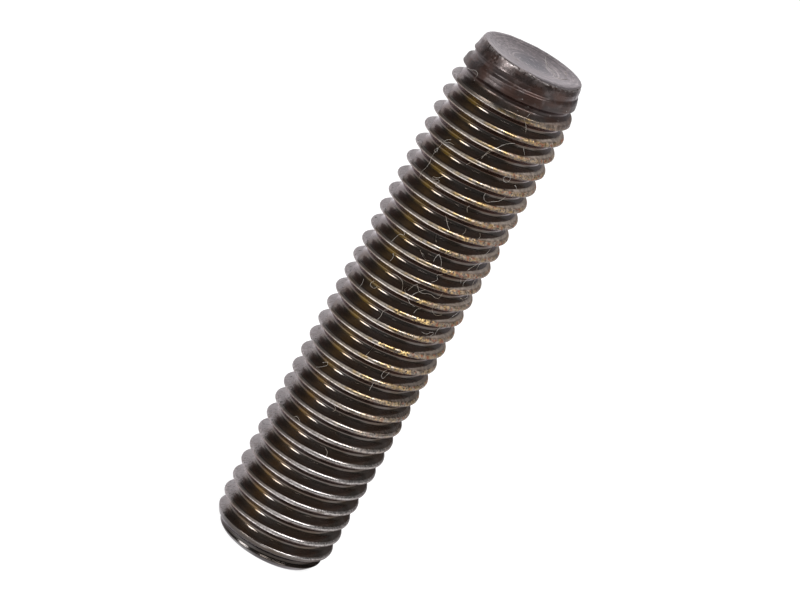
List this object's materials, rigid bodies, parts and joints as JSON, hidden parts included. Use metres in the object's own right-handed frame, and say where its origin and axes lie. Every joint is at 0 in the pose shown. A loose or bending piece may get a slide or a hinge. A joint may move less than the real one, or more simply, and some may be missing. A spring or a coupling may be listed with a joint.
{
  "type": "taperlock stud",
  "caption": "Fully threaded steel stud with a right-hand thread, a tapered lead and smooth collar at its upper end, a rounded lower edge and cupped end faces.",
  "frame": {"origin": "centre of the lower rim, on the surface that the stud stands on", "axes": "+Z along the stud's axis, towards the tapered end with the collar; -Y towards the viewer of the reference view"},
  "size_m": [0.0156, 0.0156, 0.0698],
  "materials": {
    "dark_steel": "satin"
  },
  "bodies": {
    "root": {"stud": "dark_steel"}
  },
  "joints": []
}
